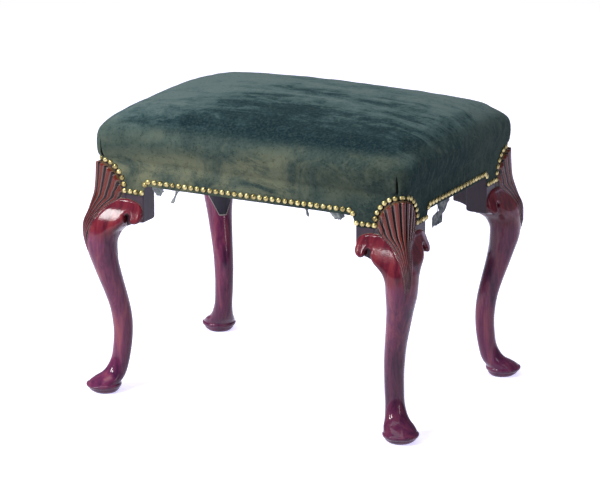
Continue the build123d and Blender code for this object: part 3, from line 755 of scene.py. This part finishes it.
def side_marks(half, radius, plain):
    """Places along half of one side from its middle out to the corner arc, close near the corner."""
    straight = half - radius
    dense = min(DENSE_REACH, 0.5 * straight)
    marks = [(straight - dense) * k / plain for k in range(plain)]
    marks += [straight - dense + dense * k / DENSE for k in range(DENSE + 1)]
    return marks


LONG_PLAIN = 24
SHORT_PLAIN = 12


def outline_point(side, step, grow, radius):
    """A point of the seat's plan: side 0 to 3, and the step from the side's middle, minus before it."""
    long_side = side % 2 == 0
    half_u = (HALF_X if long_side else HALF_Y) + grow
    half_v = (HALF_Y if long_side else HALF_X) + grow
    marks = side_marks(half_u, radius, LONG_PLAIN if long_side else SHORT_PLAIN)
    k = abs(step)
    if k < len(marks):
        along = marks[k]
        out = half_v
    else:
        lean = math.pi / 4 * (k - len(marks) + 1) / ARC_STEPS
        along = half_u - radius + radius * math.sin(lean)
        out = half_v - radius + radius * math.cos(lean)
    along = math.copysign(along, step) if step else 0.0
    turn = (0, math.pi / 2, math.pi, 3 * math.pi / 2)[side]
    c = math.cos(turn)
    s = math.sin(turn)
    x = along * c + out * s
    y = along * s - out * c
    return x, y


def arch_edge(corner_run):
    """Height of the leather's lower edge over a shell, at a run along the cover from the corner."""
    reach = ROOT2 * ARCH_HALF + 1.6
    if corner_run >= reach:
        return TAB_EDGE
    return ARCH_SPRING + (ARCH_RISE + 1.4) * math.sqrt(1 - (corner_run / reach) ** 2)


def lower_edge(x, y):
    """Height of the cover's lower edge at a point of its plan."""
    u = HALF_X - abs(x)
    v = HALF_Y - abs(y)
    run = max(u, v) + 0.5 * CORNER_RADIUS * (math.pi / 2 - 2)
    run = max(0.0, run)
    low = arch_edge(run)
    if run > BRACKET_END - 6:
        step = smoothed(BRACKET_END - 3.5, BRACKET_END + 2.5, run)
        low = TAB_EDGE + (RAIL_BOTTOM - 0.5 - TAB_EDGE) * step
    ragged = 0.8 * noise.noise(Vector((x * 0.09, y * 0.09, 3.0)))
    return low + ragged


def crown_height(x, y):
    a = min(1.0, abs(x) / (HALF_X - 10.0))
    b = min(1.0, abs(y) / (HALF_Y - 10.0))
    dome = (1 - a**2.6) * (1 - b**2.4)
    return TOP_EDGE + CROWN * dome**0.8


def seat_piece():
    """The stuffed seat: a grid for the top, drawn down at its edge to the nail line."""
    long_steps = LONG_PLAIN + DENSE + ARC_STEPS
    short_steps = SHORT_PLAIN + DENSE + ARC_STEPS
    bm = bmesh.new()
    bmesh.ops.create_grid(bm, x_segments=2 * long_steps, y_segments=2 * short_steps, size=1.0)
    side_layer = bm.verts.layers.int.new("side")
    step_layer = bm.verts.layers.int.new("step")
    rim = [e for e in bm.edges if e.is_boundary]
    _, top_grow, top_radius = COVER[-1]
    for vert in bm.verts:
        i = round(vert.co.x * long_steps)
        j = round(vert.co.y * short_steps)
        a = i / long_steps
        b = j / short_steps
        share = max(abs(a), abs(b))
        if share == 0:
            vert.co = Vector((0, 0, crown_height(0, 0))) * MM
            continue
        if abs(b) >= abs(a):
            side = 0 if b < 0 else 2
            exact = i / share * (1 if side == 0 else -1)
        else:
            side = 1 if a > 0 else 3
            exact = j / share * (1 if side == 1 else -1)
        low = math.floor(exact)
        part = exact - low
        x0, y0 = outline_point(side, low, top_grow, top_radius)
        x1, y1 = outline_point(side, low + 1, top_grow, top_radius) if part > 1e-6 else (x0, y0)
        x = (x0 + (x1 - x0) * part) * share
        y = (y0 + (y1 - y0) * part) * share
        vert[side_layer] = side
        vert[step_layer] = round(exact)
        vert.co = Vector((x, y, crown_height(x, y))) * MM
    rings = [(z, 0.0) for z in ROLL_HEIGHTS] + [(SKIRT_TOP, share) for share in SKIRT_SHARES]
    edges = rim
    for z, share in rings:
        grown = bmesh.ops.extrude_edge_only(bm, edges=edges)["geom"]
        edges = edges_in(grown)
        grow, radius = (LEATHER, SKIRT_RADIUS) if share else through(COVER, z)
        for vert in verts_in(grown):
            x, y = outline_point(vert[side_layer], vert[step_layer], grow, radius)
            height = z + (lower_edge(x, y) - z) * share if share else z
            vert.co = Vector((x, y, height)) * MM
    return finish_mesh(bm, "leather_seat", HIDE)


def swell(piece):
    """Let the stuffing press the leather out a little, held along the nails, by cloth simulation."""
    rest = [v.co.copy() for v in piece.data.vertices]
    held = piece.vertex_groups.new(name="nailed")
    for index, co in enumerate(rest):
        z = co.z / MM
        if z < FREE_ABOVE:
            held.add([index], smoothed(FREE_ABOVE, HELD_BELOW, z), "REPLACE")
    cloth = piece.modifiers.new("swell", "CLOTH")
    settings = cloth.settings
    settings.quality = 4
    settings.mass = 0.35
    settings.tension_stiffness = 40
    settings.compression_stiffness = 40
    settings.shear_stiffness = 20
    settings.bending_stiffness = 8
    settings.use_pressure = True
    settings.uniform_pressure_force = 3.0
    settings.vertex_group_mass = "nailed"
    settings.pin_stiffness = 5
    settings.effector_weights.gravity = 0
    cloth.collision_settings.use_collision = False
    scene = bpy.context.scene
    for step in range(SWELL_FRAMES):
        scene.frame_set(step + 1)
    graph = bpy.context.evaluated_depsgraph_get()
    swollen = piece.evaluated_get(graph).to_mesh()
    moved = [v.co.copy() for v in swollen.vertices]
    piece.evaluated_get(graph).to_mesh_clear()
    piece.modifiers.remove(cloth)
    scene.frame_set(1)
    limit = SWELL_LIMIT * MM
    for vert, before, after in zip(piece.data.vertices, rest, moved):
        shift = after - before
        if shift.length > limit:
            shift *= limit / shift.length
        vert.co = before + shift
    piece.vertex_groups.clear()


def rumple(piece):
    """Pull of the nails, the fold at each corner and slight unevenness of old stuffing."""
    for vert in piece.data.vertices:
        x, y, z = vert.co / MM
        spot = Vector((x, y, z))
        top = smoothed(470.0, 484.0, z)
        lumps = noise.fractal(spot * 0.011, 1.0, 2.0, 3) * 2.2 + noise.noise(spot * 0.035) * 0.7
        fallen = (min(1.0, abs(x) / 290) * min(1.0, abs(y) / 210)) ** 3
        z += lumps * top - 1.0 * top - 15.0 * fallen * smoothed(448.0, 482.0, z)
        side = smoothed(405.0, 425.0, z) * (1 - top)
        pull = noise.noise(Vector((x * 0.05, y * 0.05, z * 0.012))) * 1.3 * side
        out = Vector((x / HALF_X, y / HALF_Y))
        if abs(out.x) > abs(out.y):
            x += math.copysign(1, x) * pull
        else:
            y += math.copysign(1, y) * pull
        cx = HALF_X - abs(x)
        cy = HALF_Y - abs(y)
        across = (cx - cy) / ROOT2 - SLIT_ACROSS
        crease = math.exp(-((across / 2.2) ** 2)) * smoothed(405.0, 410.0, z)
        crease *= 1 - smoothed(430.0, 446.0, z)
        if max(cx, cy) < 40:
            x -= math.copysign(2.2 * crease, x)
            y -= math.copysign(2.2 * crease, y)
        vert.co = Vector((x, y, z)) * MM


def finish_seat(piece):
    skin = piece.modifiers.new("thickness", "SOLIDIFY")
    skin.thickness = LEATHER * MM
    skin.offset = -1.0
    soft = piece.modifiers.new("smooth", "SUBSURF")
    soft.levels = 1
    soft.render_levels = 1
    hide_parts("leather_cover", "wadding", "lining", "second_stuffing", "scrim", "first_stuffing")


# Torn ends of leather below the nails

SCRAPS = (
    # side, place along it, width, drop, drift, fraying, and its outline as (share of drop, share of width)
    ("front", -168.0, 21.0, 13.0, 3.0, 0.3, ((0.0, 1.0), (0.35, 0.95), (0.65, 0.62), (1.0, 0.34))),
    (
        "front", -130.0, 11.0, 22.0, -9.0, 0.3,
        ((0.0, 0.85), (0.25, 0.34), (0.65, 0.30), (0.85, 0.62), (1.0, 0.45)),
    ),
    ("front", 108.0, 10.0, 12.0, 4.0, 0.3, ((0.0, 0.8), (0.3, 0.35), (0.7, 0.5), (1.0, 0.4))),
    ("front", 164.0, 26.0, 10.5, 2.0, 0.3, ((0.0, 1.0), (0.4, 0.9), (0.7, 0.66), (1.0, 0.4))),
    ("right", -50.0, 44.0, 20.0, -12.0, 0.2, ((0.0, 1.0), (0.3, 0.84), (0.65, 0.62), (1.0, 0.26))),
    (
        "right", -72.0, 36.0, 34.0, -9.0, 0.08,
        ((0.0, 0.3), (0.12, 0.1), (0.4, 0.08), (0.46, 0.86), (1.0, 0.98)),
    ),
)
SCRAP_THICKNESS = 1.0


def torn_scrap(name, side, place, width, drop, drift, fraying, outline):
    """A torn end of the cover, hanging from its lower edge and curling a little outwards."""
    bm = bmesh.new()
    bmesh.ops.create_grid(bm, x_segments=12, y_segments=28, size=1.0)
    for vert in bm.verts:
        down = (1 - vert.co.y) / 2
        half = 0.5 * width * through(outline, down)[0]
        fray = 1 + fraying * vert.co.x * noise.noise(Vector((place, down * drop * 0.3, vert.co.x)))
        along = place + drift * down + vert.co.x * half * fray
        hang = drop * down * (1 + 0.7 * fraying * noise.noise(Vector((vert.co.x * 2.5, place, 4.0))))
        curl = 2.4 * down**2 + 1.2 * down * noise.noise(Vector((along * 0.12, hang * 0.12, place)))
        out = LEATHER / 2 + max(0.0, curl)
        z = RAIL_BOTTOM + 1.0 - hang
        spot = (along, -HALF_Y - out, z) if side == "front" else (HALF_X + out, along, z)
        vert.co = Vector(spot) * MM
    area = sum(face.calc_area() for face in bm.faces)
    piece = finish_mesh(bm, name, TORN)
    skin = piece.modifiers.new("thickness", "SOLIDIFY")
    skin.thickness = SCRAP_THICKNESS * MM
    skin.offset = 0.0


# Brass nails

NAIL_RADIUS = 4.9
NAIL_RISE = 3.2
NAIL_SHANK = 0.7
NAIL_LENGTH = 8.0
NAIL_LEAN = 0.09
ROW_END = 94.6
ROW_PITCH = 11.5
ROW_RISE = 8.4
STEP_NAIL = (88.4, RAIL_BOTTOM + 3.2)
TAB_NAILS = 4
TAB_PITCH = 10.7
TAB_ROW = RAIL_BOTTOM - 11.6
ARCH_NAILS = 13
NAIL_ARCH_RISE = 50.0


def nail_spots():
    """Nail places of one corner, as the frame has them: (group, u, v, z, facing angle)."""
    spots = []
    for group, half in (("long", HALF_X), ("short", HALF_Y)):
        end = half - ROW_END
        gaps = round(2 * end / ROW_PITCH)
        for k in range(gaps + 1):
            place = -end + 2 * end * k / gaps
            if place > -0.001:
                spots.append((group, half - place, RAIL_BOTTOM + ROW_RISE))
    arch_u = ROOT2 * ARCH_HALF + 3.5
    tab = [STEP_NAIL] + [(arch_u + TAB_PITCH * k, TAB_ROW) for k in range(TAB_NAILS)]
    for u, z in tab:
        spots.append(("long", u, z))
        spots.append(("short", u, z))
    placed = []
    for group, u, z in spots:
        if group == "long":
            placed.append((group, u, -LEATHER, z, math.pi / 2))
        else:
            placed.append((group, -LEATHER, u, z, 0.0))
    bend = CORNER_RADIUS * math.pi / 4
    reach = arch_u - CORNER_RADIUS + bend
    last = ARCH_NAILS // 2
    for k in range(-last, last + 1):
        turn = math.pi / 2 * k / (last + 1)
        s = reach * math.sin(turn)
        z = TAB_ROW + NAIL_ARCH_RISE * math.cos(turn)
        if abs(s) <= bend:
            lean = math.pi / 4 + s / CORNER_RADIUS
            radius = CORNER_RADIUS + LEATHER
            u = CORNER_RADIUS - radius * math.cos(lean)
            v = CORNER_RADIUS - radius * math.sin(lean)
            placed.append(("arch", u, v, z, lean))
        elif s > 0:
            placed.append(("arch", CORNER_RADIUS + s - bend, -LEATHER, z, math.pi / 2))
        else:
            placed.append(("arch", -LEATHER, CORNER_RADIUS - s - bend, z, 0.0))
    return placed


def add_nail(bm, spot, facing, chance):
    """A domed head with a rolled lip, driven a little unevenly, on its shank."""
    before = set(bm.verts)
    bmesh.ops.create_uvsphere(bm, u_segments=12, v_segments=8, radius=1.0)
    fresh = [v for v in bm.verts if v not in before]
    lower = [v for v in fresh if v.co.z < -0.01]
    bmesh.ops.delete(bm, geom=lower, context="VERTS")
    dome = [v for v in fresh if v.is_valid]
    size = 1.0 + chance.uniform(-0.04, 0.04)
    lip = [v for v in dome if abs(v.co.z) < 0.01]
    dark = bm.verts.layers.float["lip"]
    for vert in lip:
        vert[dark] = 1.0
    for vert in dome:
        vert.co.x *= NAIL_RADIUS * size
        vert.co.y *= NAIL_RADIUS * size
        vert.co.z *= NAIL_RISE
    rim = [e for e in bm.edges if e.is_boundary and e.verts[0] in lip and e.verts[1] in lip]
    grown = bmesh.ops.extrude_edge_only(bm, edges=rim)["geom"]
    shank = verts_in(grown)
    for vert in shank:
        vert.co.x *= NAIL_SHANK / NAIL_RADIUS
        vert.co.y *= NAIL_SHANK / NAIL_RADIUS
        vert.co.z = -0.2
    grown = bmesh.ops.extrude_edge_only(bm, edges=edges_in(grown))["geom"]
    ends = verts_in(grown)
    for vert in ends:
        vert.co = (0, 0, -NAIL_LENGTH)
    bmesh.ops.remove_doubles(bm, verts=ends, dist=1e-6)
    whole = dome + shank + [v for v in ends if v.is_valid]
    lean_x = chance.uniform(-NAIL_LEAN, NAIL_LEAN)
    lean_y = chance.uniform(-NAIL_LEAN, NAIL_LEAN)
    tilt = Matrix.Rotation(lean_x, 3, "X") @ Matrix.Rotation(lean_y, 3, "Y")
    aim = facing.to_track_quat("Z", "X").to_matrix()
    for vert in whole:
        vert.co = spot + aim @ tilt @ vert.co * MM


def nail_pieces():
    chance = random.Random(7)
    groups = {}
    for corner_name, corner in CORNERS.items():
        across, along = corner
        for group, u, v, z, lean in nail_spots():
            x, y = across * (HALF_X - u), along * (HALF_Y - v)
            if group == "arch":
                name = f"nails_knee_{corner_name}"
            elif group == "long":
                name = "nails_front" if along < 0 else "nails_back"
                if abs(x) < 0.01 and across < 0:
                    continue
            else:
                name = "nails_left" if across < 0 else "nails_right"
                if abs(y) < 0.01 and along < 0:
                    continue
            facing = Vector((across * math.cos(lean), along * math.sin(lean), 0))
            groups.setdefault(name, []).append((Vector((x, y, z)) * MM, facing))
    for name, spots in groups.items():
        bm = bmesh.new()
        bm.verts.layers.float.new("lip")
        for spot, facing in spots:
            add_nail(bm, spot, facing, chance)
        piece = finish_mesh(bm, f"brass_{name}", BRASS)
        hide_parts(name)


# Underside: webbing, hessian and the frame's own timber

LONG_PLACES = [(k - 1.5) * 78.0 for k in range(4)]
CROSS_PLACES = [(k - 2.0) * 88.0 for k in range(5)]
STRAP_WIDTH = 52.0
STRAP_THICKNESS = 0.5
STRAP_TURNBACK = 26.0
STRAP_LIE = 0.6
LAID_LONG = 544.0
LAID_SHORT = 384.0


def strap_height(at, length, crossings, first_over):
    """Middle height of a strap above the rails at a place along it."""
    flat = length / 2 - STRAP_TURNBACK
    stations = [(-flat, STRAP_LIE)]
    over = first_over
    for place in crossings:
        level = 1.4 + (0.66 if over else -0.66)
        stations += [(place - 25.0, level), (place + 25.0, level)]
        over = not over
    stations.append((flat, STRAP_LIE))
    for (a, low), (b, high) in zip(stations, stations[1:]):
        if a < at <= b:
            return low + (high - low) * smoothed(a, b, at)
    return STRAP_LIE


def strap_piece(name, place, length, crossings, first_over, lengthwise):
    """A strap of webbing, laid over and under its neighbours with its ends turned back."""
    bm = bmesh.new()
    bmesh.ops.create_grid(bm, x_segments=150, y_segments=8, size=1.0)
    for vert in bm.verts:
        at = vert.co.x * length / 2
        side = vert.co.y * STRAP_WIDTH / 2
        rise = strap_height(at, length, crossings, first_over)
        sway = 0.5 * noise.noise(Vector((at * 0.02, place * 0.1, 0.0)))
        height = RAIL_TOP + rise
        x, y = (at, place + side + sway) if lengthwise else (place + side + sway, at)
        vert.co = Vector((x, y, height)) * MM
    bmesh.ops.solidify(bm, geom=bm.faces[:], thickness=STRAP_THICKNESS * MM)
    for sign in (-1, 1):
        before = set(bm.verts)
        bmesh.ops.create_grid(bm, x_segments=8, y_segments=8, size=1.0)
        fresh = [v for v in bm.verts if v not in before]
        for vert in fresh:
            at = sign * (length - STRAP_TURNBACK) / 2 + vert.co.x * (STRAP_TURNBACK / 2 - 0.2)
            side = vert.co.y * (STRAP_WIDTH / 2 - 0.6)
            x, y = (at, place + side) if lengthwise else (place + side, at)
            vert.co = Vector((x, y, RAIL_TOP + 1.8)) * MM
        turned = set(fresh)
        faces = [f for f in bm.faces if all(v in turned for v in f.verts)]
        bmesh.ops.solidify(bm, geom=faces, thickness=STRAP_THICKNESS * MM)
    piece = finish_mesh(bm, f"jute_{name}", WEB, smooth=False)
    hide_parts(name)


def hessian_piece():
    """Sacking stretched over the webbing, a little uneven."""
    bm = bmesh.new()
    bmesh.ops.create_grid(bm, x_segments=110, y_segments=78, size=1.0)
    for vert in bm.verts:
        x = vert.co.x * LAID_LONG / 2
        y = vert.co.y * LAID_SHORT / 2
        sag = 0.25 * noise.noise(Vector((x * 0.03, y * 0.03, 1.0)))
        vert.co = Vector((x, y, RAIL_TOP + 3.9 + sag)) * MM
    piece = finish_mesh(bm, "hessian_cloth", SACKING)
    skin = piece.modifiers.new("thickness", "SOLIDIFY")
    skin.thickness = 0.6 * MM
    skin.offset = 0.0
    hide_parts("hessian")


def frame_timber():
    for name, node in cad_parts.items():
        if name.startswith(("rail_", "corner_brace", "tenon_pegs")):
            node.data.materials.clear()
            node.data.materials.append(BEECH)
        elif name in ("brace_screws", "webbing_tacks"):
            node.data.materials.clear()
            node.data.materials.append(IRON)


# Build everything

leg = leg_form()
bracket = bracket_form()
for corner_name, corner in CORNERS.items():
    corner_copy(leg, "carved", f"leg_{corner_name}", corner)
    corner_copy(bracket, "scroll", f"bracket_{corner_name}_long", corner)
    corner_copy(bracket, "scroll", f"bracket_{corner_name}_short", corner, True)
bpy.data.meshes.remove(leg)
bpy.data.meshes.remove(bracket)
nail_pieces()
for i, y in enumerate(LONG_PLACES):
    strap_piece(f"webbing_long_{i + 1}", y, LAID_LONG, CROSS_PLACES, i % 2 == 0, True)
for i, x in enumerate(CROSS_PLACES):
    strap_piece(f"webbing_cross_{i + 1}", x, LAID_SHORT, LONG_PLACES, i % 2 == 1, False)
hessian_piece()
frame_timber()
seat = seat_piece()
swell(seat)
rumple(seat)
finish_seat(seat)
for number, scrap in enumerate(SCRAPS):
    torn_scrap(f"torn_scrap_{number + 1}", *scrap)

# Floor, light and camera

LIGHT_AIM = Vector((0, 0, 0.3))


def pale_floor():
    f = Finish("floor_pale")
    wash = f.cloud(1.5, 2.0, 0.5)
    ground = f.mix(wash, rgb(0.9, 0.9, 0.9), rgb(0.94, 0.94, 0.94))
    bm = bmesh.new()
    bmesh.ops.create_grid(bm, x_segments=1, y_segments=1, size=30.0)
    mesh = bpy.data.meshes.new("floor")
    bm.to_mesh(mesh)
    bm.free()
    glow = rgb(0.66, 0.64, 0.92)
    paper = f.done(base_color=ground, roughness=0.8, emission_color=glow, emission_strength=1.0)
    mesh.materials.append(paper)
    floor = bpy.data.objects.new("floor", mesh)
    bpy.context.collection.objects.link(floor)
    floor.visible_diffuse = False


def soft_light(name, place, size, power):
    """A rectangular light turned towards the stool."""
    light = bpy.data.lights.new(name, "AREA")
    light.shape = "RECTANGLE"
    light.size, light.size_y = size
    light.energy = power
    lamp = bpy.data.objects.new(name, light)
    lamp.location = place
    lamp.rotation_euler = (LIGHT_AIM - Vector(place)).to_track_quat("-Z", "Y").to_euler()
    bpy.context.collection.objects.link(lamp)


def studio_world():
    """Dim surroundings overhead, brighter towards the horizon."""
    world = bpy.data.worlds.new("studio")
    world.use_nodes = True
    nodes = world.node_tree.nodes
    links = world.node_tree.links
    sky = nodes["Background"]
    sky.inputs["Color"].default_value = rgb(0.84, 0.88, 1.0)
    aim = nodes.new("ShaderNodeTexCoord")
    split = nodes.new("ShaderNodeSeparateXYZ")
    fade = nodes.new("ShaderNodeMapRange")
    fade.interpolation_type = "SMOOTHSTEP"
    for name, value in {"From Min": -0.02, "From Max": 0.5, "To Min": 0.3, "To Max": 0.14}.items():
        fade.inputs[name].default_value = value
    links.new(aim.outputs["Generated"], split.inputs[0])
    links.new(split.outputs["Z"], fade.inputs["Value"])
    links.new(fade.outputs["Result"], sky.inputs["Strength"])
    bpy.context.scene.world = world


def camera_like_photo():
    """The camera solved from the photograph."""
    azimuth, elevation = math.radians(27.89), math.radians(15.77)
    distance, aside, height = 5.51063, -0.0087, 0.25323
    level = math.cos(elevation)
    back = Vector((math.sin(azimuth) * level, -math.cos(azimuth) * level, math.sin(elevation)))
    right = Vector((math.cos(azimuth), math.sin(azimuth), 0))
    up = back.cross(right)
    spot = Vector((0, 0, height)) + right * aside + back * distance
    data = bpy.data.cameras.new("camera")
    data.sensor_width = 36.0
    data.sensor_fit = "HORIZONTAL"
    focal_pixels, picture_width = 3281.3, 600
    data.lens = focal_pixels / picture_width * data.sensor_width
    camera = bpy.data.objects.new("camera", data)
    turn = Matrix((right, up, back)).transposed().to_4x4()
    camera.matrix_world = Matrix.Translation(spot) @ turn
    bpy.context.collection.objects.link(camera)
    bpy.context.scene.camera = camera


pale_floor()
soft_light("overhead", (-0.3, -0.2, 2.6), (2.4, 2.0), 34)
soft_light("left", (-2.05, -2.5, 1.9), (0.62, 0.75), 59)
soft_light("front", (-0.98, -2.93, 2.1), (0.4, 0.45), 38)
soft_light("right", (2.9, -0.9, 1.3), (0.35, 1.3), 11)
soft_light("back", (-0.6, 2.8, 1.7), (2.0, 1.2), 14)
studio_world()
bpy.context.scene.view_settings.view_transform = "Standard"
camera_like_photo()
